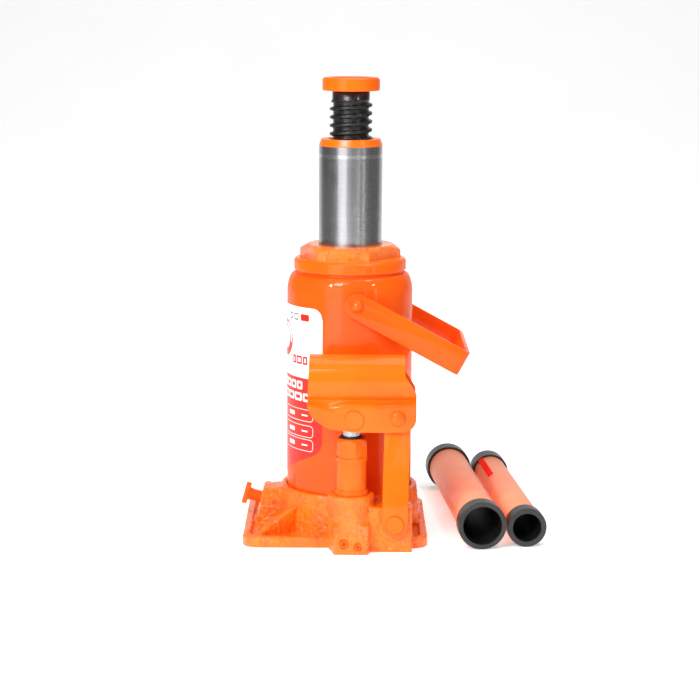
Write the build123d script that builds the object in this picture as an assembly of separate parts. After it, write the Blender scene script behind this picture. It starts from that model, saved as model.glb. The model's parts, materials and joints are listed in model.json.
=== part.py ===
from build123d import *
from math import atan2, cos, degrees, radians, sin, sqrt
import os

# Two-stage hand-pumped bottle jack with a carry bail and a two-piece handle laid beside it.
# Millimetres, +Z up. The origin is on the ram's axis at the underside of the base.
# -Y is the pump side, -X the release-valve side, +X the link side.

# ---- driving dimensions ----
# running gaps
FIT = 0.08            # radial running fit of rods and pins
STATIC = 0.03         # radial gap of pieces that are pressed or screwed together
GAP = 0.4             # side gap between flat moving plates

# base casting
PLATE_X0, PLATE_X1 = -65.4, 48.6
PLATE_Y0, PLATE_Y1 = -54.8, 52.0
PLATE_T = 6.6
RIM_W = 4.6
POCKET_FLOOR = 3.2
CORNER_R = 9.0
COLLAR_R_FOOT, COLLAR_R_TOP = 46.0, 42.8
COLLAR_TOP = 29.0
TANK_SEAT = 20.0      # floor of the reservoir
CYL_SEAT = 12.0       # floor under the pressure cylinder

# tank, cylinder and cap nut
TANK_R = 39.3
TANK_WALL = 2.5
TANK_SHOULDER_Z = 152.5  # where the straight wall ends and the rounded shoulder starts
TANK_TOP = 165.5
TANK_TOP_R = 33.6
CYL_R_OUT, CYL_R_IN = 24.8, 21.0
CYL_TOP = 176.0
NUT_FLANGE_R = 34.9
NUT_FLANGE_TOP = 173.0
NUT_TOP = 181.7
NUT_FLATS = 55.0
NUT_TURN = 21.0       # one corner of the hexagon lies this far round from -Y towards +X

# ram and extension screw, as shown: ram partly out, screw partly out
RAM_R = 19.7
RAM_TOP, RAM_FOOT = 247.0, 81.0
SCREW_R, SCREW_ROOT_R = 13.3, 11.1
SCREW_PITCH = 5.1
SCREW_FOOT = 182.0
NECK_R = 11.6
NECK_Z = 271.4
SADDLE_FOOT, SADDLE_TOP = 276.6, 284.7
SADDLE_R = 17.75

# pump
PUMP_X, PUMP_Y = 1.4, -55.0
BOSS_R, BOSS_TOP = 14.0, 34.9
BULGE_X0, BULGE_X1 = -8.8, 11.6
BULGE_Y, BULGE_FACE_TOP, BULGE_TOP = -72.0, 10.0, 17.5
PUMP_BODY_R, PUMP_HEAD_R = 9.2, 9.8
PUMP_FLANGE_R = 10.6
PUMP_HEAD_FOOT, PUMP_FLATS_FOOT, PUMP_TOP = 55.0, 57.5, 69.6
PUMP_FLATS = 17.2
PUMP_FLATS_TURN = 15.0
PLUNGER_R = 5.2

# linkage: bars between the base lug and the handle socket
LINK_FOOT_X, LINK_FOOT_Z = 28.0, 17.8
LINK_HEAD_X, LINK_HEAD_Z = 29.2, 83.8
LINK_W, LINK_T = 15.5, 3.0
LINK_UP_Y = 9.4       # outer face of a bar's upper part, measured from the pump's plane
LINK_LOW_Y = 12.2     # outer face of its lower part
JOGGLE_Z0, JOGGLE_Z1 = 31.0, 41.0
LUG_X0, LUG_X1, LUG_TOP = 15.0, 38.5, 27.6
PIN_X, PIN_Z = 2.9, 82.6
PIN_R, RIVET_R = 3.5, 3.5
SLOT_SHIFT = 0.1      # the plunger's eye is centred this far towards -X from the pin
SLOT_HALF = 0.65      # and lets the pin move this far each way

# handle socket, a rolled and pinched sheet
SHEET_T = 2.2
ROLL_R, ROLL_Z = 14.7, 106.0
FLANGE_Y = 12.2       # outer face of a flange, from the pump's plane
NECK_Y = 9.2          # outer face at the pinched neck
FLANGE_TOP_Z = 90.5
FLANGE_FOOT_Z = 75.0

# carry bail
BAIL_X, BAIL_Z = 4.5, 148.0
BAIL_DROP = 28.5      # degrees below horizontal
BAIL_IN_Y = 40.0
BAIL_T, BAIL_W = 2.8, 15.6
BAIL_REACH = 74.5

# release valve
VALVE_X, VALVE_Z = -56.5, 18.7
VALVE_TILT = 15.7     # degrees that the valve's outer end points up
VALVE_R = 4.0
VALVE_PITCH = 1.25

# handle tubes on the floor
TUBE_TURN = 4.8       # degrees from +Y towards -X
BIG_TUBE = {"r": 13.2, "wall": 1.2, "ring_r": 14.9, "hole_r": 12.0, "x": 82.0, "y": -57.0,
            "length": 168.0, "front": 11.0, "rear": 12.0}
SMALL_TUBE = {"r": 10.75, "wall": 1.85, "ring_r": 12.2, "hole_r": 8.9, "x": 109.9, "y": -50.4,
              "length": 164.0, "front": 11.0, "rear": 14.0}
LIP = 1.5             # how far an end ring covers the tube's end face

# label wrapped on the tank
LABEL_T = 0.2
LABEL_HALF = 65.0     # degrees each side of -X
LABEL_TOP, LABEL_SIDE_Z, LABEL_POINT_Z = 145.0, 55.5, 36.0

MID = (Align.CENTER, Align.CENTER, Align.MIN)
Y_AXIS, X_AXIS = Vector(0, 1, 0), Vector(1, 0, 0)


# ---- shared shapes ----
def rod(r, z0, z1, x=0.0, y=0.0):
    """Upright cylinder from z0 to z1."""
    return Pos(x, y, z0) * Cylinder(r, z1 - z0, align=MID)


def ring(r_out, r_in, z0, z1, x=0.0, y=0.0):
    """Upright tube from z0 to z1."""
    return rod(r_out, z0, z1, x, y) - rod(r_in, z0 - 1, z1 + 1, x, y)


def block(x0, x1, y0, y1, z0, z1):
    """Box between two corners."""
    size = Box(x1 - x0, y1 - y0, z1 - z0, align=(Align.MIN, Align.MIN, Align.MIN))
    return Pos(x0, y0, z0) * size


def rod_y(r, x, z, y0, y1):
    """Cylinder along Y from y0 to y1."""
    return Pos(x, y0, z) * Rot(-90, 0, 0) * Cylinder(r, y1 - y0, align=MID)


def prism_y(points, y0, y1):
    """Outline in the XZ plane, extruded along Y from y0 to y1."""
    face = make_face(Polyline(*[(x, 0, z) for x, z in points], close=True))
    return Pos(0, y0, 0) * extrude(face, amount=y1 - y0, dir=Y_AXIS)


def hexagon(flats, z0, z1, turn, x=0.0, y=0.0):
    """Upright hexagonal bar; one corner lies turn degrees round from -Y towards +X."""
    outline = RegularPolygon(flats / 2, 6, major_radius=False)
    return Pos(x, y, z0) * Rot(0, 0, turn + 30) * extrude(outline, amount=z1 - z0)


def turned(points):
    """Solid of revolution about Z from an (r, z) outline."""
    face = make_face(Polyline(*[(r, 0, z) for r, z in points], close=True))
    return revolve(face, axis=Axis.Z)


def valve_place(along):
    """Frame on the release valve's axis, its Z pointing out of the base, along mm from the boss face."""
    tilt = radians(VALVE_TILT)
    x = VALVE_X - along * cos(tilt)
    z = VALVE_Z + along * sin(tilt)
    return Pos(x, 0, z) * Rot(0, VALVE_TILT - 90, 0)


# ---- base casting ----
SUCTION_X, SUCTION_Z, SUCTION_R = -2.8, 7.0, 2.5
DELIVERY_X, DELIVERY_Z, DELIVERY_R = 5.6, 5.2, 2.0
SUCTION_END_Y, DELIVERY_END_Y = -52.0, -54.0      # seats at the inner ends of the check-valve bores
DELIVERY_OUT_X = 8.2  # oil way that leaves the side of the delivery bore
DRILL_R = 1.0
CHAMBER_R, CHAMBER_FOOT = 5.5, 12.5
SPIGOT_R, SPIGOT_FOOT = 8.0, 20.0
OVERLOAD_Z, OVERLOAD_R = 8.0, 3.0
OVERLOAD_FACE_Y, OVERLOAD_END_Y = 46.0, 22.0
STRAINER_Y, STRAINER_R = -31.0, 3.0
VALVE_BORE_DEPTH = 29.0
VALVE_BALL_R = 1.8


GUSSETS = ((221, 76.0, 21.5), (139, 74.0, 21.5), (47, 64.0, 19.0))    # degrees from +X, reach, root height
GUSSET_HALF_T = 2.4
PLATE_EDGE_R = 1.2
VALVE_BOSS_HALF_Y, VALVE_BOSS_TOP, VALVE_BOSS_SLANT = 9.5, 26.5, 6.0


def gusset(angle, r_end, z_root):
    """Triangular corner rib, angle degrees round from +X."""
    root_r = TANK_R - 3.3
    points = [(root_r, 0), (root_r, z_root + 3), (root_r + 6, z_root), (r_end, PLATE_T), (r_end, 0)]
    return Rot(0, 0, angle) * prism_y(points, -GUSSET_HALF_T, GUSSET_HALF_T)


def valve_bulge():
    """Swelling at the foot of the pump boss that holds the two check valves."""
    profile = [(BULGE_Y, 0), (BULGE_Y, BULGE_FACE_TOP), (PUMP_Y - BOSS_R + 0.5, BULGE_TOP), (PUMP_Y, BULGE_TOP),
               (PUMP_Y, 0)]
    side = make_face(Polyline(*[(-20, y, z) for y, z in profile], close=True))
    plan = make_face(Polyline((PUMP_X - BOSS_R, PUMP_Y, 0), (BULGE_X0, BULGE_Y, 0), (BULGE_X1, BULGE_Y, 0),
                              (PUMP_X + BOSS_R, PUMP_Y, 0), close=True))
    bulge = extrude(side, amount=40, dir=X_AXIS) & extrude(plan, amount=40)
    return fillet(bulge.edges().filter_by(Axis.X).sort_by(Axis.Y)[:2], 2.0)


def base_outside():
    wide, deep = PLATE_X1 - PLATE_X0, PLATE_Y1 - PLATE_Y0
    centre = Pos((PLATE_X0 + PLATE_X1) / 2, (PLATE_Y0 + PLATE_Y1) / 2, 0)
    plate = centre * extrude(RectangleRounded(wide, deep, CORNER_R), amount=PLATE_T)
    plate = fillet(plate.edges().group_by(Axis.Z)[-1], PLATE_EDGE_R)
    pocket = extrude(RectangleRounded(wide - 2 * RIM_W, deep - 2 * RIM_W, CORNER_R - RIM_W + 1.5), amount=9)
    body = plate - centre * Pos(0, 0, POCKET_FLOOR) * pocket
    body += Cone(COLLAR_R_FOOT, COLLAR_R_TOP, COLLAR_TOP, align=MID)
    for rib in GUSSETS:
        body += gusset(*rib)
    body += rod(BOSS_R, 0, BOSS_TOP, PUMP_X, PUMP_Y)
    body += block(PUMP_X - BOSS_R + 1.2, PUMP_X + BOSS_R - 1.2, PUMP_Y, -36, 0, BOSS_TOP - 3.5)
    body += valve_bulge()
    lug_y = PUMP_Y + LINK_LOW_Y - LINK_T - GAP
    body += block(LUG_X0 - 4, LUG_X1, 2 * PUMP_Y - lug_y, lug_y, 0, LUG_TOP)
    face_top = VALVE_X + 2.5
    boss = [(-30, 0), (-30, VALVE_BOSS_TOP), (face_top, VALVE_BOSS_TOP), (face_top - VALVE_BOSS_SLANT, 0)]
    return body + prism_y(boss, -VALVE_BOSS_HALF_Y, VALVE_BOSS_HALF_Y)


def base_casting():
    body = base_outside()
    body -= rod(TANK_R + 0.25, TANK_SEAT, 60)
    body -= rod(CYL_R_OUT + STATIC, CYL_SEAT, TANK_SEAT + 1)
    # pump bore, chamber and the drillings down to the two check valves
    body -= rod(SPIGOT_R + STATIC, SPIGOT_FOOT - 1.2, 60, PUMP_X, PUMP_Y)
    body -= rod(CHAMBER_R, CHAMBER_FOOT, SPIGOT_FOOT, PUMP_X, PUMP_Y)
    body -= rod_y(SUCTION_R, SUCTION_X, SUCTION_Z, BULGE_Y - 1, SUCTION_END_Y)
    body -= rod(DRILL_R, SUCTION_Z, CHAMBER_FOOT + 1, SUCTION_X, SUCTION_END_Y - 6)
    body -= rod_y(DRILL_R, SUCTION_X, SUCTION_Z, SUCTION_END_Y - 1, STRAINER_Y)
    body -= rod(DRILL_R, SUCTION_Z, TANK_SEAT + 1, SUCTION_X, STRAINER_Y)
    body -= rod(STRAINER_R + STATIC, TANK_SEAT - 1.2, TANK_SEAT + 1, SUCTION_X, STRAINER_Y)
    body -= rod_y(DELIVERY_R, DELIVERY_X, DELIVERY_Z, BULGE_Y - 1, DELIVERY_END_Y)
    body -= rod_y(DRILL_R, DELIVERY_X, DELIVERY_Z, DELIVERY_END_Y - 1, DELIVERY_END_Y + 1.5)
    body -= rod(DRILL_R, DELIVERY_Z, CHAMBER_FOOT + 1, DELIVERY_X, DELIVERY_END_Y + 1)
    body -= rod_y(DRILL_R, DELIVERY_OUT_X, DELIVERY_Z, DELIVERY_END_Y - 4, -12)
    body -= rod(DRILL_R, DELIVERY_Z, CYL_SEAT + 1, DELIVERY_OUT_X, -13)
    # overload valve at the back
    body -= rod_y(OVERLOAD_R, 0, OVERLOAD_Z, OVERLOAD_END_Y, OVERLOAD_FACE_Y + 2)
    body -= rod_y(DRILL_R, 0, OVERLOAD_Z, 9, OVERLOAD_END_Y + 1)
    body -= rod(DRILL_R, OVERLOAD_Z, CYL_SEAT + 1, 0, 10)
    # release valve: screw bore, oil way to the cylinder and return drilling to the tank
    body -= valve_place(-VALVE_BORE_DEPTH) * Cylinder(VALVE_R + FIT, VALVE_BORE_DEPTH + 6, align=MID)
    body -= valve_place(-45) * Cylinder(DRILL_R + 0.3, 20, align=MID)
    body -= rod(DRILL_R, 7, CYL_SEAT + 1, -14.6)
    body -= rod(DRILL_R, 11.5, TANK_SEAT + 1, -30)
    # link pivot and the slot behind the lug for the rear bar
    body -= rod_y(RIVET_R + STATIC, LINK_FOOT_X, LINK_FOOT_Z, PUMP_Y - 14, PUMP_Y + 16)
    slot_y = PUMP_Y + LINK_LOW_Y - LINK_T - GAP
    body -= block(LUG_X0 + 2, LUG_X1 + 2, slot_y, slot_y + 6.5, 7.5, LUG_TOP + 5)
    return body


# ---- reservoir, pressure cylinder and cap nut ----
def dome(r, r_top, foot, shoulder, top):
    """Solid with a straight wall and a quarter-round shoulder that ends in a short neck."""
    neck = 1.2
    mid = ((r_top + 0.79 * (r - r_top)), 0, shoulder + 0.61 * (top - neck - shoulder))
    outline = [Line((0, 0, foot), (r, 0, foot)), Line((r, 0, foot), (r, 0, shoulder)),
               Spline((r, 0, shoulder), mid, (r_top, 0, top - neck), tangents=((0, 0, 1), (-1, 0, 0.1))),
               Line((r_top, 0, top - neck), (r_top, 0, top)), Line((r_top, 0, top), (0, 0, top)),
               Line((0, 0, top), (0, 0, foot))]
    return revolve(make_face(outline), axis=Axis.Z)


def tank_shell():
    foot = TANK_SEAT + 1.0
    shell = dome(TANK_R, TANK_TOP_R, foot, TANK_SHOULDER_Z, TANK_TOP)
    shell -= dome(TANK_R - TANK_WALL, TANK_TOP_R - TANK_WALL, foot - 1, TANK_SHOULDER_Z, TANK_TOP - TANK_WALL)
    shell -= rod(CYL_R_OUT + STATIC, 100, TANK_TOP + 1)
    shell -= filler_place() * Cylinder(FILLER_R + STATIC, 20)
    for side in (-1, 1):
        y0 = side * (TANK_R - 4)
        shell -= rod_y(BAIL_RIVET_R + STATIC, BAIL_X, BAIL_Z, min(y0, side * 45), max(y0, side * 45))
    return shell


def tank_gasket():
    return ring(TANK_R, TANK_R - TANK_WALL, TANK_SEAT, TANK_SEAT + 1.0)


def cylinder_tube():
    tube = ring(CYL_R_OUT, CYL_R_IN, CYL_SEAT + 1.2, CYL_TOP)
    # thread relief under the cap nut's thread
    return tube - ring(CYL_R_OUT + 1, CYL_R_OUT - 0.6, TANK_TOP - 8, TANK_TOP - 5)


def cylinder_gasket():
    return ring(CYL_R_OUT, CYL_R_IN, CYL_SEAT, CYL_SEAT + 1.2)


WIPER_Z0, WIPER_Z1, WIPER_R = 177.6, 180.4, 22.3
NUT_SEAL_R0, NUT_SEAL_R1, NUT_SEAL_H = 29.0, 31.4, 1.2


def cap_nut():
    flange = turned([(0, TANK_TOP), (NUT_FLANGE_R - 0.8, TANK_TOP), (NUT_FLANGE_R, TANK_TOP + 1),
                     (NUT_FLANGE_R, NUT_FLANGE_TOP - 1.4), (NUT_FLANGE_R - 1.4, NUT_FLANGE_TOP),
                     (0, NUT_FLANGE_TOP)])
    corner_r = NUT_FLATS / 2 / cos(radians(30))
    chamfer = turned([(0, NUT_FLANGE_TOP), (corner_r + 1, NUT_FLANGE_TOP), (corner_r + 1, NUT_TOP - 4.0),
                      (NUT_FLATS / 2 - 1.2, NUT_TOP), (0, NUT_TOP)])
    nut = flange + (hexagon(NUT_FLATS, NUT_FLANGE_TOP, NUT_TOP, NUT_TURN) & chamfer)
    nut -= rod(CYL_R_OUT + STATIC, TANK_TOP - 1, CYL_TOP + 0.2)
    nut -= rod(RAM_R + FIT, CYL_TOP, NUT_TOP + 1)
    nut -= rod(WIPER_R + STATIC, WIPER_Z0, WIPER_Z1)
    return nut - ring(NUT_SEAL_R1 + STATIC, NUT_SEAL_R0 - STATIC, TANK_TOP - 1, TANK_TOP + NUT_SEAL_H)


def cap_nut_seal():
    return ring(NUT_SEAL_R1, NUT_SEAL_R0, TANK_TOP, TANK_TOP + NUT_SEAL_H)


def wiper_seal():
    return ring(WIPER_R, RAM_R + FIT, WIPER_Z0, WIPER_Z1)


FILLER_TURN, FILLER_Z, FILLER_R = 14.0, 132.0, 4.0


def filler_place():
    """Frame on the back wall of the tank, its Z pointing outwards."""
    turn = radians(FILLER_TURN)
    x, y = -TANK_R * sin(turn), TANK_R * cos(turn)
    return Pos(x, y, FILLER_Z) * Rot(0, 0, FILLER_TURN) * Rot(-90, 0, 0)


def oil_filler_plug():
    head = Pos(0, 0, 0.6) * Cylinder(6.5, 2.4, align=MID)
    head = fillet(head.edges().group_by(Axis.Z)[-1], 0.9)
    stem = Pos(0, 0, -6) * Cylinder(FILLER_R, 7, align=MID)
    return filler_place() * (head + stem)


def label():
    """Thin band on the tank's -X side: rounded top corners, and a foot that runs down to a point."""
    r0 = TANK_R + 0.02
    half = TANK_R * radians(LABEL_HALF)
    steps = 12
    foot = []
    for i in range(-steps, steps + 1):
        along = half * i / steps
        z = LABEL_POINT_Z + (LABEL_SIDE_Z - LABEL_POINT_Z) * abs(along) / half
        foot.append((TANK_R * sin(along / TANK_R), z))
    y_max = foot[-1][0]
    outline = foot + [(y_max, LABEL_TOP), (-y_max, LABEL_TOP)]
    face = make_face(Polyline(*[(0, y, z) for y, z in outline], close=True))
    window = extrude(face, amount=60, dir=Vector(-1, 0, 0))
    return ring(r0 + LABEL_T, r0, LABEL_POINT_Z - 5, LABEL_TOP + 5) & window


# ---- ram, extension screw and saddle ----
PISTON_R = CYL_R_IN - FIT
PISTON_FOOT, PISTON_TOP = 96.0, 124.8
SPIGOT_RAM_R = 14.0
SCREW_BORE_FOOT = 151.0
RAM_CHAMFER, RAM_CHAMFER_H = 1.3, 3.8
SWIVEL_R = 8.0
SNAP_Z0, SNAP_Z1 = 278.6, 279.8
SADDLE_DISH_R = 12.9


def ram():
    body = turned([(0, RAM_FOOT), (SPIGOT_RAM_R, RAM_FOOT), (SPIGOT_RAM_R, PISTON_FOOT),
                   (PISTON_R, PISTON_FOOT), (PISTON_R, PISTON_TOP), (RAM_R, PISTON_TOP + 1),
                   (RAM_R, RAM_TOP - RAM_CHAMFER_H), (RAM_R - RAM_CHAMFER, RAM_TOP), (0, RAM_TOP)])
    body -= rod(SCREW_R + FIT, SCREW_BORE_FOOT, RAM_TOP + 1)
    mouth = turned([(0, RAM_TOP - 1.2), (SCREW_R + FIT, RAM_TOP - 1.2), (SCREW_R + 1.3, RAM_TOP + 0.1),
                    (0, RAM_TOP + 0.1)])
    groove = ring(SPIGOT_RAM_R + 1, SPIGOT_RAM_R - 1.2, RAM_FOOT + 1.5, RAM_FOOT + 3.0)
    return body - mouth - groove


def piston_cup_seal():
    z0, z1 = RAM_FOOT + 6.2, RAM_FOOT + 14.9
    cup = ring(PISTON_R, SPIGOT_RAM_R + STATIC, z0, z1)
    return cup - ring(PISTON_R - 1.6, SPIGOT_RAM_R + 1.8, z0 - 1, z0 + 4.5)


def piston_washer():
    return ring(PISTON_R - 1.0, SPIGOT_RAM_R + STATIC, RAM_FOOT + 3.1, RAM_FOOT + 6.0)


def piston_retaining_ring():
    clip = ring(SPIGOT_RAM_R + 1.8, SPIGOT_RAM_R - 1.1, RAM_FOOT + 1.6, RAM_FOOT + 2.9)
    return clip - block(0, 30, -2, 2, RAM_FOOT, RAM_FOOT + 4)


def extension_screw():
    """Screw with its thread as rounded rings of the true pitch and depth."""
    shank = turned([(0, SCREW_FOOT), (SCREW_ROOT_R - 1, SCREW_FOOT), (SCREW_ROOT_R, SCREW_FOOT + 1),
                    (SCREW_ROOT_R, NECK_Z), (NECK_R, NECK_Z), (NECK_R, SADDLE_FOOT - 0.3),
                    (SWIVEL_R, SADDLE_FOOT - 0.3), (SWIVEL_R, SADDLE_FOOT + 4.4), (0, SADDLE_FOOT + 4.4)])
    crest, root = SCREW_PITCH * 0.30, SCREW_PITCH * 0.62
    z = SCREW_FOOT + SCREW_PITCH / 2
    ridge = turned([(SCREW_ROOT_R - 1, z - root / 2), (SCREW_ROOT_R, z - root / 2),
                    (SCREW_R - 0.4, z - crest / 2), (SCREW_R, z - crest / 4), (SCREW_R, z + crest / 4),
                    (SCREW_R - 0.4, z + crest / 2), (SCREW_ROOT_R, z + root / 2),
                    (SCREW_ROOT_R - 1, z + root / 2)])
    count = int((NECK_Z - SCREW_FOOT) / SCREW_PITCH)
    ridges = [Pos(0, 0, i * SCREW_PITCH) * ridge for i in range(count)]
    groove = ring(SWIVEL_R + 1, SWIVEL_R - 1.0, SNAP_Z0 - 0.1, SNAP_Z1 + 0.1)
    return shank.fuse(*ridges) - groove


def saddle():
    body = turned([(0, SADDLE_FOOT), (SADDLE_R - 0.6, SADDLE_FOOT), (SADDLE_R, SADDLE_FOOT + 0.6),
                   (SADDLE_R, SADDLE_TOP - 1.4), (SADDLE_R - 1.4, SADDLE_TOP), (SADDLE_DISH_R + 0.6, SADDLE_TOP),
                   (SADDLE_DISH_R, SADDLE_TOP - 0.8), (0, SADDLE_TOP - 0.8)])
    body -= rod(SWIVEL_R + FIT, SADDLE_FOOT - 1, SADDLE_FOOT + 4.9)
    body -= ring(SWIVEL_R + 1.3, SWIVEL_R - 1, SNAP_Z0 - 0.05, SNAP_Z1 + 0.05)
    # crossed grooves that bite into the load
    for turn in (0, 90):
        for offset in (-6, 0, 6):
            reach = sqrt((SADDLE_DISH_R - 0.8) ** 2 - offset ** 2)
            body -= Rot(0, 0, turn) * block(-reach, reach, offset - 0.6, offset + 0.6, SADDLE_TOP - 1.6, SADDLE_TOP)
    return body


def saddle_snap_ring():
    clip = ring(SWIVEL_R + 1.2, SWIVEL_R - 0.85, SNAP_Z0, SNAP_Z1)
    return clip - block(0, 20, -1.5, 1.5, SNAP_Z0 - 1, SNAP_Z1 + 1)


# ---- pump ----
PACKING_R, PACKING_Z, PACKING_TOP = 7.4, 65.0, 70.6


def pump_body():
    """Round barrel with a foot flange, and a head with six flats milled on it."""
    barrel_top = PUMP_HEAD_FOOT + 1
    body = ring(PUMP_BODY_R, PLUNGER_R + FIT, SPIGOT_FOOT + 1, barrel_top)
    body -= ring(PUMP_BODY_R + 1, SPIGOT_R, SPIGOT_FOOT, BOSS_TOP + 0.05)
    body += ring(PUMP_FLANGE_R, SPIGOT_R - 1, BOSS_TOP + 0.05, BOSS_TOP + 1.2)
    body += ring(PUMP_FLANGE_R - 0.5, SPIGOT_R - 1, BOSS_TOP + 1.2, BOSS_TOP + 2.6)
    head = turned([(0, PUMP_HEAD_FOOT - 1), (PUMP_BODY_R, PUMP_HEAD_FOOT - 0.6),
                   (PUMP_HEAD_R, PUMP_HEAD_FOOT + 0.6), (PUMP_HEAD_R, PUMP_TOP - 1.8),
                   (PUMP_FLATS / 2 - 0.8, PUMP_TOP), (0, PUMP_TOP)])
    # each flat is cut by a wide disc cutter, so its foot is an arch
    cutter_r, slab = 14.0, 6.0
    for i in range(6):
        cut = Pos(0, -PUMP_FLATS / 2, PUMP_FLATS_FOOT + cutter_r) * Rot(90, 0, 0) * Cylinder(cutter_r, slab, align=MID)
        head -= Rot(0, 0, PUMP_FLATS_TURN + 30 + 60 * i) * cut
    body += head
    body -= rod(PLUNGER_R + FIT, 0, 90)
    body -= rod(PACKING_R + STATIC, PACKING_Z, 90)
    return Pos(PUMP_X, PUMP_Y, 0) * body


def pump_wiper():
    body = ring(PACKING_R, PLUNGER_R + FIT, PACKING_Z, PACKING_TOP - 0.8, PUMP_X, PUMP_Y)
    return body + ring(PACKING_R - 0.7, PLUNGER_R + FIT, PACKING_TOP - 0.8, PACKING_TOP, PUMP_X, PUMP_Y)


def pump_gasket():
    return ring(SPIGOT_R, CHAMBER_R + 0.4, SPIGOT_FOOT - 1.2, SPIGOT_FOOT + 1, PUMP_X, PUMP_Y)


PLUNGER_FOOT, PLUNGER_EYE_Z0, PLUNGER_EYE_Z1 = 24.0, 76.6, 90.4
EYE_HALF_X, EYE_HALF_Y = 9.0, 7.0


def pump_plunger():
    body = rod(PLUNGER_R, PLUNGER_FOOT, PLUNGER_EYE_Z0 + 1, PUMP_X, PUMP_Y)
    body -= ring(PLUNGER_R + 1, PLUNGER_R - 1.6, 27.0, 30.0, PUMP_X, PUMP_Y)
    slot_x = PIN_X - SLOT_SHIFT
    eye = block(slot_x - EYE_HALF_X, slot_x + EYE_HALF_X, PUMP_Y - EYE_HALF_Y, PUMP_Y + EYE_HALF_Y,
                PLUNGER_EYE_Z0, PLUNGER_EYE_Z1)
    body += fillet(eye.edges().filter_by(Axis.Y), 4.5)
    hole_r = PIN_R + 0.45
    body -= rod_y(hole_r, slot_x - SLOT_HALF, PIN_Z, PUMP_Y - 9, PUMP_Y + 9)
    body -= rod_y(hole_r, slot_x + SLOT_HALF, PIN_Z, PUMP_Y - 9, PUMP_Y + 9)
    body -= block(slot_x - SLOT_HALF, slot_x + SLOT_HALF, PUMP_Y - 9, PUMP_Y + 9, PIN_Z - hole_r, PIN_Z + hole_r)
    return body


def plunger_seal():
    return ring(PLUNGER_R + 0.03, PLUNGER_R - 1.57, 27.1, 29.9, PUMP_X, PUMP_Y)


# ---- linkage and handle socket ----
def link_bar(side):
    """Joggled flat bar, on the front of the lug for side -1 and behind it for side +1."""
    low, high = -12, 110
    outer = [(LINK_LOW_Y, low), (LINK_LOW_Y, JOGGLE_Z0), (LINK_UP_Y, JOGGLE_Z1), (LINK_UP_Y, high)]
    inner = [(y - LINK_T, z) for y, z in reversed(outer)]
    points = [(0, PUMP_Y + side * y, z) for y, z in outer + inner]
    strip = extrude(make_face(Polyline(*points, close=True)), amount=60, dir=X_AXIS)
    lean = degrees(atan2(LINK_HEAD_X - LINK_FOOT_X, LINK_HEAD_Z - LINK_FOOT_Z))
    length = sqrt((LINK_HEAD_X - LINK_FOOT_X) ** 2 + (LINK_HEAD_Z - LINK_FOOT_Z) ** 2)
    plan = SlotCenterToCenter(length, LINK_W)
    middle = Pos((LINK_FOOT_X + LINK_HEAD_X) / 2, 0, (LINK_FOOT_Z + LINK_HEAD_Z) / 2)
    outline = middle * Rot(0, lean - 90, 0) * Rot(-90, 0, 0) * extrude(plan, amount=90, both=True)
    bar = strip & outline
    for x, z in ((LINK_FOOT_X, LINK_FOOT_Z), (LINK_HEAD_X, LINK_HEAD_Z)):
        bar -= rod_y(RIVET_R + FIT, x, z, -90, -20)
    return bar


def pin_with_heads(x, z, r, y0, y1, front_r, front_t, rear_r, rear_t, domed):
    """Pin along Y with its shank from y0 to y1, a front head, and a thin peened rear head."""
    pin = rod_y(r, x, z, y0 - 0.5, y1 + 0.5)
    if domed:
        sphere_r = (front_r ** 2 + front_t ** 2) / (2 * front_t)
        cap = Pos(x, y0 - front_t + sphere_r, z) * Sphere(sphere_r)
        pin += cap & block(x - 20, x + 20, y0 - 20, y0, z - 20, z + 20)
    else:
        head = rod_y(front_r, x, z, y0 - front_t, y0)
        pin += fillet(head.edges().group_by(Axis.Y)[0], front_t * 0.45)
    return pin + rod_y(rear_r, x, z, y1, y1 + rear_t)


def link_bottom_rivet():
    return pin_with_heads(LINK_FOOT_X, LINK_FOOT_Z, RIVET_R, PUMP_Y - LINK_LOW_Y - 0.3,
                          PUMP_Y + LINK_LOW_Y + 0.3, 5.4, 1.4, 5.0, 1.2, False)


def link_top_rivet():
    return pin_with_heads(LINK_HEAD_X, LINK_HEAD_Z, RIVET_R, PUMP_Y - FLANGE_Y - 0.02,
                          PUMP_Y + FLANGE_Y + 0.02, 5.0, 2.6, 4.8, 1.2, True)


def plunger_pin():
    rear = PUMP_Y + FLANGE_Y
    pin = rod_y(PIN_R, PIN_X, PIN_Z, PUMP_Y - FLANGE_Y - 0.5, rear + 0.4)
    face = PUMP_Y - FLANGE_Y - 0.02
    head = rod_y(5.7, PIN_X, PIN_Z, face - 1.2, face)
    return pin + fillet(head.edges().group_by(Axis.Y)[0], 0.5)


def socket_profile():
    """Closed outline in (y, z) of the pinched sheet, y measured from the pump's plane."""
    def half(offset):
        roll = ROLL_R - offset
        neck = NECK_Y - offset
        drop = sqrt(roll ** 2 - neck ** 2)
        flank = FLANGE_Y - offset
        return roll, neck, ROLL_Z - drop, flank

    outer, inner = half(0), half(SHEET_T)
    def side(spec, sign):
        roll, neck, neck_z, flank = spec
        return [(sign * neck, neck_z), (sign * flank, FLANGE_TOP_Z), (sign * flank, FLANGE_FOOT_Z - 4)]

    edges = []
    for spec in (outer, inner):
        left, right = side(spec, -1), side(spec, 1)
        edges.append(ThreePointArc(left[0], (0, ROLL_Z + spec[0]), right[0]))
        edges += [Line(a, b) for s in (left, right) for a, b in zip(s, s[1:])]
    for sign in (-1, 1):
        edges.append(Line(side(outer, sign)[-1], side(inner, sign)[-1]))
    return make_face(edges)


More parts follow.
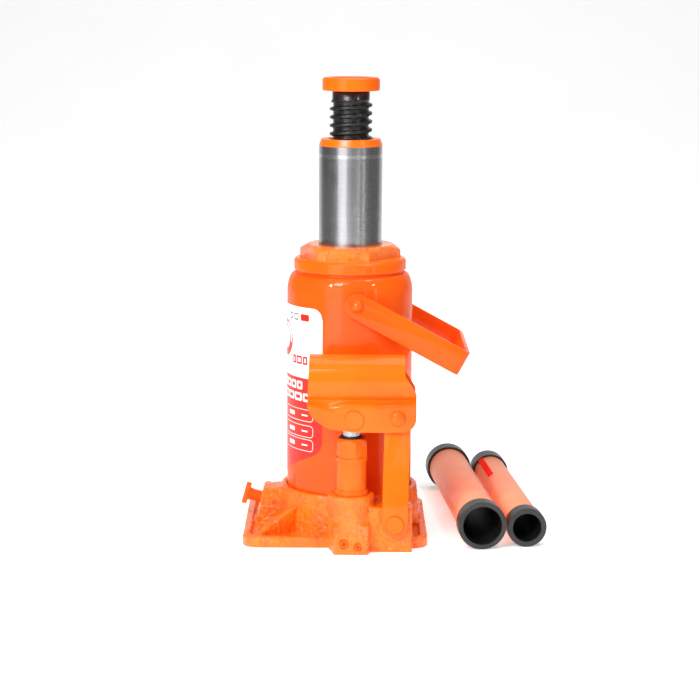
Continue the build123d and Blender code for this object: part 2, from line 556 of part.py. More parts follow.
def handle_socket():
    section = Plane(origin=(-40, PUMP_Y, 0), x_dir=(0, 1, 0), z_dir=(1, 0, 0))
    sheet = extrude(section * socket_profile(), amount=95)
    outline = make_face([
        Line((-24.4, 0, 125), (-25.4, 0, 95)),
        Spline((-25.4, 0, 95), (-23.4, 0, 84), (-16.5, 0, 77.6), tangents=((0, 0, -1), (1, 0, -0.35))),
        Line((-16.5, 0, 77.6), (3, 0, FLANGE_FOOT_Z)), Line((3, 0, FLANGE_FOOT_Z), (31.5, 0, FLANGE_FOOT_Z)),
        ThreePointArc((31.5, 0, FLANGE_FOOT_Z), (37.5, 0, 77.4), (40.0, 0, 83.5)),
        Line((40.0, 0, 83.5), (40.4, 0, 97.6)), Line((40.4, 0, 97.6), (33.8, 0, 110.0)),
        Line((33.8, 0, 110.0), (33.2, 0, 125)), Line((33.2, 0, 125), (-24.4, 0, 125))])
    sheet &= extrude(outline, amount=100, both=True)
    for x, z, r in ((PIN_X, PIN_Z, PIN_R), (LINK_HEAD_X, LINK_HEAD_Z, RIVET_R)):
        sheet -= rod_y(r + STATIC, x, z, -90, -20)
    return sheet


# ---- carry bail ----
BAIL_RIVET_R = 2.5
BAIL_BEND = 4.0


def bail():
    half_y = BAIL_IN_Y + BAIL_T
    arm_r = BAIL_W / 2
    outer = RectangleRounded(2 * BAIL_REACH, 2 * half_y, BAIL_BEND)
    inner = RectangleRounded(2 * (BAIL_REACH - BAIL_T), 2 * BAIL_IN_Y, BAIL_BEND - BAIL_T)
    strap = extrude(outer - inner, amount=BAIL_W / 2, both=True)
    strap &= block(0, 100, -60, 60, -20, 20)
    for side in (-1, 1):
        y0 = side * BAIL_IN_Y
        strap += rod_y(arm_r, 0, 0, min(y0, side * half_y), max(y0, side * half_y))
    strap -= rod_y(BAIL_RIVET_R + FIT, 0, 0, -60, 60)
    return Pos(BAIL_X, 0, BAIL_Z) * Rot(0, BAIL_DROP, 0) * strap


def bail_rivets():
    """The two shouldered rivets that the bail swings on, set in the tank's wall."""
    face = BAIL_IN_Y + BAIL_T + 0.3
    head_r, head_t = 3.85, 2.3
    sphere_r = (head_r ** 2 + head_t ** 2) / (2 * head_t)
    shank = rod_y(BAIL_RIVET_R, BAIL_X, BAIL_Z, TANK_R - 4.5, face + 0.3)
    cap = Pos(BAIL_X, face + head_t - sphere_r, BAIL_Z) * Sphere(sphere_r)
    rivet = shank + (cap & block(BAIL_X - 20, BAIL_X + 20, face, face + 20, BAIL_Z - 20, BAIL_Z + 20))
    return Compound(children=[rivet, mirror(rivet, about=Plane.XZ)])


# ---- release valve ----
O_RING_IN, O_RING_T = 12.0, 2.0
VALVE_TIP = 25.2      # depth of the screw's tip inside the boss face
VALVE_OUT, VALVE_THREADS = 7.4, 9


def release_valve_screw():
    """Threaded shank with a T-bar head."""
    tip = Cone(1.2, VALVE_R - 1.0, 4, align=MID)
    head_z = VALVE_TIP + VALVE_OUT
    shank = Pos(0, 0, 4) * Cylinder(VALVE_R, head_z - 3.5, align=MID)
    for i in range(VALVE_THREADS):
        z = head_z - 1.2 - (i + 1) * VALVE_PITCH
        shank -= Pos(0, 0, z) * ring(VALVE_R + 1, VALVE_R - 0.55, 0, VALVE_PITCH / 2)
    shank -= Pos(0, 0, VALVE_TIP - O_RING_IN - 1.1) * ring(VALVE_R + 1, VALVE_R - 1.3, 0, O_RING_T + 0.2)
    hub = Pos(0, 0, head_z + 0.2) * Cylinder(4.4, 2.6, align=MID)
    bar = Pos(0, 0, head_z) * extrude(RectangleRounded(13.6, 5.2, 1.4), amount=3.2)
    return valve_place(-VALVE_TIP) * (tip + shank + hub + bar)


def release_valve_o_ring():
    return valve_place(-O_RING_IN - 1.0) * ring(VALVE_R + 0.03, VALVE_R - 1.22, 0, O_RING_T)


def release_ball():
    return valve_place(-VALVE_BORE_DEPTH + VALVE_BALL_R) * Sphere(VALVE_BALL_R - 0.1)


# ---- check valves and overload valve ----
def suction_ball():
    return Pos(SUCTION_X, SUCTION_END_Y - SUCTION_R, SUCTION_Z) * Sphere(SUCTION_R - 0.2)


def delivery_ball():
    return Pos(DELIVERY_X, DELIVERY_END_Y - DELIVERY_R, DELIVERY_Z) * Sphere(DELIVERY_R - 0.2)


def suction_valve_plug():
    plug = rod_y(SUCTION_R - STATIC, SUCTION_X, SUCTION_Z, BULGE_Y - 0.5, BULGE_Y + 12)
    return plug - rod_y(1.3, SUCTION_X, SUCTION_Z, BULGE_Y - 1, BULGE_Y + 1.2)


def delivery_valve_plug():
    plug = rod_y(DELIVERY_R - STATIC, DELIVERY_X, DELIVERY_Z, BULGE_Y - 0.3, BULGE_Y + 7)
    return plug - rod_y(0.9, DELIVERY_X, DELIVERY_Z, BULGE_Y - 1, BULGE_Y + 1.2)


def coil_spring(r, wire_r, length, pitch):
    """Helical spring along +Z from the origin."""
    path = Helix(pitch=pitch, height=length - 2 * wire_r, radius=r)
    section = Plane(origin=path @ 0, z_dir=path % 0) * Circle(wire_r)
    return Pos(0, 0, wire_r) * sweep(section, path=path, is_frenet=True)


def delivery_spring():
    place = Pos(DELIVERY_X, BULGE_Y + 7.2, DELIVERY_Z) * Rot(-90, 0, 0)
    return place * coil_spring(1.35, 0.3, 6.4, 1.5)


def overload_screw():
    screw = rod_y(OVERLOAD_R - STATIC, 0, OVERLOAD_Z, 37, OVERLOAD_FACE_Y - 1)
    return screw - block(-0.5, 0.5, OVERLOAD_FACE_Y - 2.6, OVERLOAD_FACE_Y, OVERLOAD_Z - 4, OVERLOAD_Z + 4)


def overload_ball():
    return Pos(0, OVERLOAD_END_Y + 2.5, OVERLOAD_Z) * Sphere(2.4)


def overload_spring():
    place = Pos(0, OVERLOAD_END_Y + 6.2, OVERLOAD_Z) * Rot(-90, 0, 0)
    return place * coil_spring(2.1, 0.5, 8.4, 1.9)


def suction_strainer():
    disc = rod(STRAINER_R, TANK_SEAT - 1.0, TANK_SEAT, SUCTION_X, STRAINER_Y)
    for turn in range(0, 360, 60):
        a = radians(turn)
        disc -= rod(0.4, TANK_SEAT - 2, TANK_SEAT + 1, SUCTION_X + 1.6 * cos(a), STRAINER_Y + 1.6 * sin(a))
    return disc


# ---- handle tubes ----
def tube_place(tube):
    """Frame at the tube's front end, on its axis, Z running along the tube towards its rear end."""
    return Pos(tube["x"], tube["y"], tube["ring_r"]) * Rot(0, 0, TUBE_TURN) * Rot(-90, 0, 0)


def handle_tube(tube):
    length = tube["length"] - 2 * LIP
    body = Pos(0, 0, LIP) * (Cylinder(tube["r"], length, align=MID)
                             - Cylinder(tube["r"] - tube["wall"], length, align=MID))
    return tube_place(tube) * body


def end_ring(tube, depth):
    """Plastic collar over a tube's end, with a lip that covers the end face."""
    sleeve = Cylinder(tube["ring_r"], depth, align=MID)
    sleeve = fillet(sleeve.edges().filter_by(GeomType.CIRCLE), 0.5)
    sleeve -= Pos(0, 0, LIP) * Cylinder(tube["r"] + STATIC, depth, align=MID)
    return sleeve - Cylinder(tube["hole_r"], 4 * LIP)


def end_rings(tube):
    front = end_ring(tube, tube["front"])
    rear = Pos(0, 0, tube["length"]) * Rot(180, 0, 0) * end_ring(tube, tube["rear"])
    place = tube_place(tube)
    return Compound(children=[place * front, place * rear])


STRIP_W, STRIP_T, STRIP_L = 4.0, 0.8, 45.0
STRIP_TURN = 38.0     # degrees round the tube from its top towards -X


def handle_key_strip():
    """Flat strip along the small tube's flank, from the rear ring forwards."""
    length, rear = SMALL_TUBE["length"], SMALL_TUBE["rear"]
    bar = block(-STRIP_W / 2, STRIP_W / 2, SMALL_TUBE["r"] + 0.03, SMALL_TUBE["r"] + 0.03 + STRIP_T,
                length - rear - STRIP_L, length - rear - 0.1)
    bar -= Cylinder(SMALL_TUBE["r"] + 0.02, 400)
    return tube_place(SMALL_TUBE) * Rot(0, 0, 180 - STRIP_TURN) * bar


NODES = {
    "base_casting": base_casting, "tank_shell": tank_shell, "tank_gasket": tank_gasket,
    "cylinder_tube": cylinder_tube, "cylinder_gasket": cylinder_gasket, "cap_nut": cap_nut,
    "cap_nut_seal": cap_nut_seal, "wiper_seal": wiper_seal, "oil_filler_plug": oil_filler_plug,
    "label": label, "ram": ram, "piston_cup_seal": piston_cup_seal, "piston_washer": piston_washer,
    "piston_retaining_ring": piston_retaining_ring, "extension_screw": extension_screw,
    "saddle": saddle, "saddle_snap_ring": saddle_snap_ring, "pump_body": pump_body,
    "pump_wiper": pump_wiper, "pump_gasket": pump_gasket, "pump_plunger": pump_plunger,
    "plunger_seal": plunger_seal, "plunger_pin": plunger_pin, "handle_socket": handle_socket,
    "link_bottom_rivet": link_bottom_rivet, "link_top_rivet": link_top_rivet, "bail": bail,
    "bail_rivets": bail_rivets, "release_valve_screw": release_valve_screw,
    "release_valve_o_ring": release_valve_o_ring, "release_ball": release_ball,
    "suction_ball": suction_ball, "suction_valve_plug": suction_valve_plug,
    "delivery_ball": delivery_ball, "delivery_valve_plug": delivery_valve_plug,
    "delivery_spring": delivery_spring, "overload_screw": overload_screw,
    "overload_ball": overload_ball, "overload_spring": overload_spring,
    "suction_strainer": suction_strainer, "handle_key_strip": handle_key_strip,
}

os.makedirs("parts", exist_ok=True)
for name, make in NODES.items():
    export_step(make(), "parts/" + name + ".step")
for name, side in (("link_bar_front", -1), ("link_bar_rear", 1)):
    export_step(link_bar(side), "parts/" + name + ".step")
for name, tube in (("outer", BIG_TUBE), ("inner", SMALL_TUBE)):
    export_step(handle_tube(tube), "parts/handle_tube_" + name + ".step")
    export_step(end_rings(tube), "parts/handle_rings_" + name + ".step")
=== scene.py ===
import json
from math import atan2, cos, exp, floor, pi, radians, sin, sqrt

import bmesh
import bpy
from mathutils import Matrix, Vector, noise
from mathutils.bvhtree import BVHTree


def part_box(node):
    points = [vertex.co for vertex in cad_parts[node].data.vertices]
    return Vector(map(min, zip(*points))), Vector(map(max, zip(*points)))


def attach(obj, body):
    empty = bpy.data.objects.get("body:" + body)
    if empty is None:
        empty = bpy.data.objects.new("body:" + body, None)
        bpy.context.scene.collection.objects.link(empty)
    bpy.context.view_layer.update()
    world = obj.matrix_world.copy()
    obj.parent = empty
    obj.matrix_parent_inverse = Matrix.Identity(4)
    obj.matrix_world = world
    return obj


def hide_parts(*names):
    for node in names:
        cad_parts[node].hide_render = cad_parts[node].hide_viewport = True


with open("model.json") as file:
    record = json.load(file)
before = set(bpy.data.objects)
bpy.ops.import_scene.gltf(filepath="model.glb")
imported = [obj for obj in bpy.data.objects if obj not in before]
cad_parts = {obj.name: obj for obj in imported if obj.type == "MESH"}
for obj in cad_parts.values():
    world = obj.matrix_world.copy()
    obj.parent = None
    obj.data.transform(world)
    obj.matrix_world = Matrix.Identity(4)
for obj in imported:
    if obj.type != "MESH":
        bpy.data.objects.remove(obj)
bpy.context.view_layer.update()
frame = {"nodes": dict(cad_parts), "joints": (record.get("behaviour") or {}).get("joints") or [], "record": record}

MM = 0.001      # metres; the pieces' own sizes are in millimetres unless a name says otherwise

# ---- what the pieces share with the CAD model ----
BODY_OF = {node: body for body, nodes in frame["record"]["behaviour"]["bodies"].items() for node in nodes}
JOINTS = {joint["name"]: joint for joint in frame["joints"]}
COUPLINGS = {coupling["joint"]: coupling for coupling in frame["record"]["behaviour"]["couplings"]}
MOUNTS = {mount["name"]: mount for mount in frame["record"]["mounts"]}


def cad_box(node):
    """Lowest and highest corner of a CAD node, in millimetres."""
    low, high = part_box(node)
    return low / MM, high / MM


def ease(t):
    """Smooth step from 0 to 1."""
    return t * t * (3 - 2 * t)


def unit(t):
    """Held between 0 and 1."""
    return min(1.0, max(0.0, t))


# =====================================================================
# materials
# =====================================================================

class Nodes:
    """A short way to wire a material's nodes; an input is named by its label, or by i and its number."""

    def __init__(self, name):
        self.material = bpy.data.materials.new(name)
        self.material.use_nodes = True
        self.tree = self.material.node_tree
        self.shader = self.tree.nodes["Principled BSDF"]
        self.coords = self.tree.nodes.new("ShaderNodeTexCoord").outputs["Object"]

    def add(self, kind, **inputs):
        node = self.tree.nodes.new(kind)
        for key, value in inputs.items():
            self.set(node, key, value)
        return node

    def set(self, node, key, value):
        socket = node.inputs[int(key[1:])] if key[0] == "i" and key[1:].isdigit() else node.inputs[key]
        if isinstance(value, bpy.types.NodeSocket):
            self.tree.links.new(value, socket)
        else:
            socket.default_value = value

    def math(self, operation, a, b=0.0, c=0.0):
        node = self.tree.nodes.new("ShaderNodeMath")
        node.operation = operation
        for index, value in enumerate((a, b, c)):
            self.set(node, "i%d" % index, value)
        return node.outputs[0]

    def stretched(self, scale):
        node = self.add("ShaderNodeMapping")
        self.set(node, "Vector", self.coords)
        node.inputs["Scale"].default_value = scale
        return node.outputs[0]

    def noise(self, scale, detail=3.0, roughness=0.5, vector=None):
        node = self.add("ShaderNodeTexNoise", Scale=scale, Detail=detail, Roughness=roughness)
        self.set(node, "Vector", vector or self.coords)
        return node.outputs["Fac"]

    def ramp(self, fac, stops):
        node = self.add("ShaderNodeValToRGB", Fac=fac)
        ramp = node.color_ramp
        for index, (place, colour) in enumerate(stops):
            element = ramp.elements[index] if index < 2 else ramp.elements.new(place)
            element.position = place
            element.color = colour
        return node.outputs["Color"]

    def bump(self, height, strength, distance, normal=None):
        node = self.add("ShaderNodeBump", Height=height, Strength=strength, Distance=distance)
        if normal:
            self.set(node, "Normal", normal)
        return node.outputs["Normal"]

    def principled(self, **inputs):
        for key, value in inputs.items():
            self.set(self.shader, key.replace("_", " "), value)
        return self.material


def rgba(r, g, b):
    return (r, g, b, 1.0)


def grey(level):
    return rgba(level, level, level)


def shade(colour, factor):
    return rgba(*[min(1.0, c * factor) for c in colour[:3]])


BLACK, WHITE = grey(0.0), grey(1.0)
ORANGE = rgba(1.0, 0.15, 0.001)
ORANGE_DEEP = rgba(0.93, 0.095, 0.001)


def enamel(name, colour, deep, ripple, roughness=0.5, coat=0.42, coat_roughness=0.03):
    """Sprayed glossy paint: faint tone drift, orange peel, and small dust nibs."""
    n = Nodes(name)
    drift = n.noise(18.0, 2.0)
    peel = n.noise(900.0, 2.0)
    nibs = n.ramp(n.noise(420.0, 1.0), [(0.0, BLACK), (0.74, BLACK), (0.8, WHITE)])
    tone = n.ramp(drift, [(0.3, deep), (0.62, colour)])
    normal = n.bump(peel, ripple, 0.0002)
    normal = n.bump(nibs, 0.12, 0.0002, normal)
    gloss = n.ramp(n.noise(60.0, 3.0), [(0.3, grey(roughness * 0.8)), (0.7, grey(roughness * 1.3))])
    n.set(n.shader, "Coat Normal", normal)
    return n.principled(Base_Color=tone, Roughness=gloss, Normal=normal, Coat_Weight=coat,
                        Coat_Roughness=coat_roughness, Specular_IOR_Level=0.1)


def cast_enamel(name):
    """The same paint run thick over a sand casting: small lumps, pits and pooled colour."""
    n = Nodes(name)
    lumps = n.noise(340.0, 3.0, 0.6)
    grit = n.add("ShaderNodeTexVoronoi", Scale=780.0)
    n.set(grit, "Vector", n.coords)
    pits = n.ramp(grit.outputs["Distance"], [(0.0, BLACK), (0.45, WHITE)])
    pool = n.ramp(n.noise(90.0, 4.0, 0.6), [(0.34, rgba(0.96, 0.13, 0.0)), (0.6, rgba(1.0, 0.195, 0.0))])
    normal = n.bump(lumps, 1.0, 0.0018)
    normal = n.bump(pits, 0.4, 0.0004, normal)
    gloss = n.ramp(n.noise(160.0, 2.0), [(0.35, grey(0.38)), (0.7, grey(0.55))])
    n.set(n.shader, "Coat Normal", normal)
    return n.principled(Base_Color=pool, Roughness=gloss, Normal=normal, Coat_Weight=1.0,
                        Coat_Roughness=0.03, Specular_IOR_Level=0.1)


def mixed(n, share, under, over):
    """Colour that goes from under to over as the share goes from 0 to 1."""
    mix = n.tree.nodes.new("ShaderNodeMix")
    mix.data_type = "RGBA"
    n.set(mix, "i0", share)
    n.set(mix, "i6", under)
    n.set(mix, "i7", over)
    return mix.outputs[2]


PALE_BAND_DROP, PALE_BAND_HALF = 0.0062, 0.0011      # metres: below the paint's edge, and half its width


def polished_steel(name, base, roughness, paint_from=None):
    """Ground rod with fine grinding rings, and faint lengthways streaks that are painted reflection streaks in its
    colour and fine lines in its surface; orange paint above a height in metres.
    """
    n = Nodes(name)
    rings = n.noise(1.0, 4.0, 0.7, n.stretched((30.0, 30.0, 5200.0)))
    # lengthways streaks: painted reflection streaks in the colour, and fine lines in the surface through the bump
    streak_lines_and_painted_reflection = n.noise(1.0, 3.0, 0.6, n.stretched((1500.0, 1500.0, 14.0)))
    smudge = n.noise(38.0, 4.0, 0.6)
    fine = n.math("MULTIPLY", n.math("ADD", rings, streak_lines_and_painted_reflection), 0.5)
    tone = n.ramp(fine, [(0.32, shade(base, 0.7)), (0.68, shade(base, 1.15))])
    gloss = n.math("MULTIPLY_ADD", smudge, roughness * 0.5, roughness * 0.75)
    normal = n.bump(fine, 0.12, 0.00008)
    if paint_from is None:
        return n.principled(Base_Color=tone, Metallic=1.0, Roughness=gloss, Normal=normal)
    height = n.add("ShaderNodeSeparateXYZ", Vector=n.coords).outputs["Z"]
    ragged = n.math("MULTIPLY_ADD", n.noise(260.0, 2.0), 0.0005, height)
    painted = n.math("GREATER_THAN", ragged, paint_from)
    off_band = n.math("ABSOLUTE", n.math("SUBTRACT", height, paint_from - PALE_BAND_DROP))
    band = n.math("MULTIPLY", n.math("LESS_THAN", off_band, PALE_BAND_HALF), 0.35)
    colour = mixed(n, painted, mixed(n, band, tone, grey(0.9)), ORANGE)
    return n.principled(Base_Color=colour, Metallic=n.math("SUBTRACT", 1.0, painted), Roughness=gloss,
                        Normal=normal)


def black_oxide(name):
    """Oiled black finish, rubbed a little brighter round the rod."""
    n = Nodes(name)
    dark, worn = rgba(0.006, 0.006, 0.0065), rgba(0.03, 0.03, 0.031)
    tone = n.ramp(n.noise(240.0, 4.0, 0.6), [(0.35, dark), (0.72, worn)])
    rub = n.noise(1.0, 3.0, 0.6, n.stretched((300.0, 300.0, 1800.0)))
    return n.principled(Base_Color=tone, Metallic=0.35, Roughness=n.math("MULTIPLY_ADD", rub, 0.3, 0.2),
                        Normal=n.bump(rub, 0.25, 0.0001), Coat_Weight=0.2, Coat_Roughness=0.12)


def moulded_black(name, tone_low, tone_high, roughness):
    """Black rubber or plastic with a fine moulded grain."""
    n = Nodes(name)
    grain = n.noise(1900.0, 2.0)
    tone = n.ramp(n.noise(120.0, 3.0), [(0.3, grey(tone_low)), (0.7, grey(tone_high))])
    return n.principled(Base_Color=tone, Roughness=n.math("MULTIPLY_ADD", grain, 0.18, roughness - 0.09),
                        Normal=n.bump(grain, 0.22, 0.0001))


def metal(name, low, high, roughness):
    """Bare metal with fine lines left by its machining."""
    n = Nodes(name)
    lines = n.noise(1.0, 3.0, 0.6, n.stretched((2200.0, 2200.0, 260.0)))
    tone = n.ramp(lines, [(0.3, low), (0.7, high)])
    gloss = n.math("MULTIPLY_ADD", lines, 0.2, roughness - 0.1)
    return n.principled(Base_Color=tone, Metallic=1.0, Roughness=gloss, Normal=n.bump(lines, 0.15, 0.0001))


def vinyl(name, colour, deep):
    """Printed label film: print mottle, a faint ripple over the adhesive, a clear glossy face."""
    n = Nodes(name)
    tone = n.ramp(n.noise(75.0, 3.0), [(0.3, deep), (0.65, colour)])
    mottle = n.noise(1500.0, 2.0)
    normal = n.bump(n.noise(34.0, 2.0), 0.12, 0.0006)
    return n.principled(Base_Color=tone, Roughness=n.math("MULTIPLY_ADD", mottle, 0.12, 0.4),
                        Normal=n.bump(mottle, 0.05, 0.0001, normal), Coat_Weight=0.3, Coat_Roughness=0.06,
                        Specular_IOR_Level=0.2)


PAINT = enamel("orange_enamel", ORANGE, ORANGE_DEEP, 0.10)
TANK_PAINT = enamel("deep_orange_enamel", rgba(1.0, 0.118, 0.001), rgba(0.93, 0.082, 0.001), 0.10, coat=0.38)
CAST = cast_enamel("orange_cast_enamel")
RAM_PAINT_DEPTH = 4.1       # how far the top collar's paint comes down the ram
RAM_PAINT_FROM = (cad_box("ram")[1].z - RAM_PAINT_DEPTH) * MM
RAM = polished_steel("ground_ram_steel", rgba(0.45, 0.45, 0.46), 0.28, RAM_PAINT_FROM)
BRIGHT = polished_steel("bright_rod_steel", rgba(0.45, 0.45, 0.44), 0.2)
STEEL = metal("machined_steel", rgba(0.36, 0.36, 0.37), rgba(0.6, 0.6, 0.61), 0.34)
COPPER = metal("copper", rgba(0.55, 0.24, 0.12), rgba(0.82, 0.42, 0.25), 0.34)
OXIDE = black_oxide("oiled_black_oxide")
RUBBER = moulded_black("nitrile_rubber", 0.008, 0.02, 0.55)
PLASTIC = moulded_black("black_plastic", 0.012, 0.026, 0.38)
# salmon base colour: a painted sheen, the white wash of light laid into the red-orange enamel
TUBE = enamel("red_handle_enamel_painted_sheen", rgba(1.0, 0.35, 0.19), rgba(0.98, 0.29, 0.15), 0.12,
              roughness=0.6, coat=0.35, coat_roughness=0.3)
# near-black steel for the tube bores: painted shade inside the tubes
BORE_SHADE_STEEL = metal("bore_painted_shade_steel", rgba(0.035, 0.035, 0.036), rgba(0.09, 0.09, 0.09), 0.5)
STRIP = enamel("red_strip_enamel", rgba(1.0, 0.012, 0.0), rgba(0.95, 0.008, 0.0), 0.10,
               roughness=0.7, coat=0.0, coat_roughness=0.2)
LABEL_WHITE = vinyl("label_white", rgba(0.93, 0.93, 0.92), rgba(0.86, 0.86, 0.85))
LABEL_RED = vinyl("label_red", rgba(0.9, 0.02, 0.008), rgba(0.8, 0.012, 0.006))
LABEL_DARK = vinyl("label_dark", rgba(0.09, 0.012, 0.01), rgba(0.06, 0.01, 0.01))

NODE_MATERIAL = {
    "orange_paint": PAINT, "orange_cast_paint": CAST, "ram_steel": BRIGHT, "plain_steel": STEEL,
    "black_thread": OXIDE, "nitrile": RUBBER, "copper": COPPER, "label_vinyl": LABEL_RED,
    "handle_enamel": TUBE, "strip_enamel": STRIP, "black_plastic": PLASTIC,
}


# =====================================================================
# mesh helpers
# =====================================================================

def link(name, mesh, material, body):
    """Puts a mesh in the scene as a piece that rides on a CAD body."""
    piece = bpy.data.objects.new(name, mesh)
    bpy.context.scene.collection.objects.link(piece)
    mesh.materials.clear()
    mesh.materials.append(material)
    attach(piece, body)
    return piece


def mesh_from(work, name):
    """Turns a bmesh into a mesh whose faces agree on which side is out."""
    bmesh.ops.recalc_face_normals(work, faces=work.faces)
    mesh = bpy.data.meshes.new(name)
    work.to_mesh(mesh)
    work.free()
    return mesh


def baked(piece):
    """Applies a piece's modifiers and returns its new mesh."""
    bpy.context.view_layer.update()
    graph = bpy.context.evaluated_depsgraph_get()
    mesh = bpy.data.meshes.new_from_object(piece.evaluated_get(graph))
    piece.modifiers.clear()
    piece.data = mesh
    return mesh


def smooth_by_angle(mesh, degrees_limit):
    for polygon in mesh.polygons:
        polygon.use_smooth = True
    mesh.set_sharp_from_angle(angle=radians(degrees_limit))


def copy_of(node, name, material):
    """A welded copy of a CAD node's mesh, riding where the node rides and standing for it."""
    source = frame["nodes"][node]
    mesh = source.data.copy()
    work = bmesh.new()
    work.from_mesh(mesh)
    bmesh.ops.remove_doubles(work, verts=work.verts, dist=2e-6)
    work.to_mesh(mesh)
    work.free()
    piece = link(name, mesh, material, BODY_OF[node])
    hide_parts(node)
    return piece


def bevelled(node, width, material=PAINT):
    """CAD shape with its sharp edges rounded, as paint and tumbling leave them."""
    piece = copy_of(node, node + "_finished", material)
    work = bmesh.new()
    work.from_mesh(piece.data)
    bmesh.ops.dissolve_limit(work, angle_limit=radians(0.6), verts=work.verts, edges=work.edges)
    work.to_mesh(piece.data)
    work.free()
    bevel = piece.modifiers.new("round", "BEVEL")
    bevel.width = width * MM
    bevel.segments = 3
    bevel.limit_method = "ANGLE"
    bevel.angle_limit = radians(32.0)
    smooth_by_angle(baked(piece), 28.0)
    return piece


SKIN_SWELL = 0.25 * MM      # makes up for what the smoothing takes off
NARROW_GAP = 7.0 * MM       # a wall that faces another this near is a bore's
BORE_RELIEF = 0.3 * MM
LUMP_FADE = 2.0 * MM        # height over which the lumps grow to full size


def cast_skin(node, voxel, lump, smooth_below=0.0, material=CAST, rounds=6):
    """CAD shape remade as a sand casting: rounded corners and a lumpy skin, turned smooth below a height.

    Bores and drilled passages are left a little wide, so nothing that moves in them can touch the skin.
    """
    piece = copy_of(node, node + "_cast", material)
    low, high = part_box(node)
    remesh = piece.modifiers.new("skin", "REMESH")
    remesh.mode = "VOXEL"
    remesh.voxel_size = voxel * MM
    soften = piece.modifiers.new("soften", "SMOOTH")
    soften.iterations = rounds
    soften.factor = 0.5
    mesh = baked(piece)
    walls = BVHTree.FromPolygons([v.co for v in mesh.vertices], [p.vertices for p in mesh.polygons])
    lumps_from = max(low.z + 0.6 * MM, smooth_below)
    normals = [vertex.normal.copy() for vertex in mesh.vertices]
    for vertex, normal in zip(mesh.vertices, normals):
        place = vertex.co
        wide = noise.noise(place * 340.0)
        fine = noise.noise(place * 760.0 + Vector((7.0, 3.0, 1.0)))
        fade = unit((place.z - lumps_from) / LUMP_FADE)
        shift = (0.65 * wide + 0.35 * fine - 0.35) * lump * MM * fade + SKIN_SWELL
        if walls.ray_cast(place + normal * 0.05 * MM, normal, NARROW_GAP)[0]:
            shift = -BORE_RELIEF
        moved = place + normal * shift
        vertex.co = [min(max(moved[i], low[i]), high[i]) for i in range(3)]
    if smooth_below:
        mesh.materials.append(PAINT)
        for polygon in mesh.polygons:
            polygon.material_index = 1 if polygon.center.z < smooth_below else 0
    smooth_by_angle(mesh, 60.0)


def dark_inside(node, mount):
    """A handle tube with its bore given near-black steel, a painted shade inside the tube."""
    piece = bevelled(node, 0.2, material=TUBE)
    origin = Vector(MOUNTS[mount]["pos_m"])
    axis = Vector(MOUNTS[mount]["axis"]).normalized()
    mesh = piece.data
    # the inward-facing bore faces take the near-black steel, a painted shade inside the tube
    mesh.materials.append(BORE_SHADE_STEEL)
    for polygon in mesh.polygons:
        out = polygon.center - origin
        out -= axis * out.dot(axis)
        if polygon.normal.dot(out.normalized()) < -0.5:
            polygon.material_index = 1


def grid_mesh(name, rows, tube=False):
    """Mesh over rows of points, each as long as the others; a tube's rows close up and its ends are capped."""
    work = bmesh.new()
    made = [[work.verts.new(point) for point in row] for row in rows]
    width = len(rows[0])
    for upper, lower in zip(made, made[1:]):
        for i in range(width if tube else width - 1):
            j = (i + 1) % width
            work.faces.new((upper[i], upper[j], lower[j], lower[i]))
    if tube:
        work.faces.new(made[0])
        work.faces.new(list(reversed(made[-1])))
    return mesh_from(work, name)


# =====================================================================
# pieces made here
# =====================================================================

def screw_thread():
    """Extension screw with a true right-hand helix, rounded at crest and root."""
    low, high = cad_box("extension_screw")
    pitch = COUPLINGS["screw_lift"]["ratio"] * 2 * pi / MM
    crest_r, root_r, neck_r, pin_r = high.x - 0.02, 11.1, 11.6, 7.98
    shoulder_z = cad_box("saddle")[0].z - 0.32
    neck_z = shoulder_z - 4.88
    neck_blend, lead_in, run_out = 2.0, 1.5, 0.55 * pitch
    around, rings_per_turn = 96, 14

    def tooth(phase):
        """0 at the root, 1 at the crest, with a rounded crest a third of the pitch wide."""
        across = abs(phase - floor(phase) - 0.5) * 2
        return 1.0 - ease(unit((across - 0.26) / 0.42)) - 0.12 * across

    def ring(z, radius):
        """Points round the axis, at a radius that may change with the turn."""
        turns = [2 * pi * i / around for i in range(around)]
        return [(radius(t) * cos(t) * MM, radius(t) * sin(t) * MM, z * MM) for t in turns]

    def threaded(z):
        """The ring at a height on the threaded length."""
        core_r = root_r + (neck_r - root_r) * (1 - unit((neck_z - z) / neck_blend))
        depth = (crest_r - root_r) * unit((neck_z - z) / run_out) * min(1.0, (z - low.z + 0.3) / lead_in)
        return ring(z, lambda turn: core_r + depth * max(0.0, tooth(z / pitch - turn / (2 * pi))))

    rows = []
    z = low.z
    while z < neck_z:
        rows.append(threaded(z))
        z += pitch / rings_per_turn
    for r, z in ((neck_r, neck_z), (neck_r, shoulder_z - 0.48), (neck_r - 0.4, shoulder_z),
                 (pin_r, shoulder_z), (pin_r, high.z - 0.3), (pin_r - 0.3, high.z)):
        rows.append(ring(z, lambda turn: r))
    mesh = grid_mesh("thread", rows, tube=True)
    smooth_by_angle(mesh, 40.0)
    piece = link("extension_screw_thread", mesh, OXIDE, "screw")
    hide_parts("extension_screw")


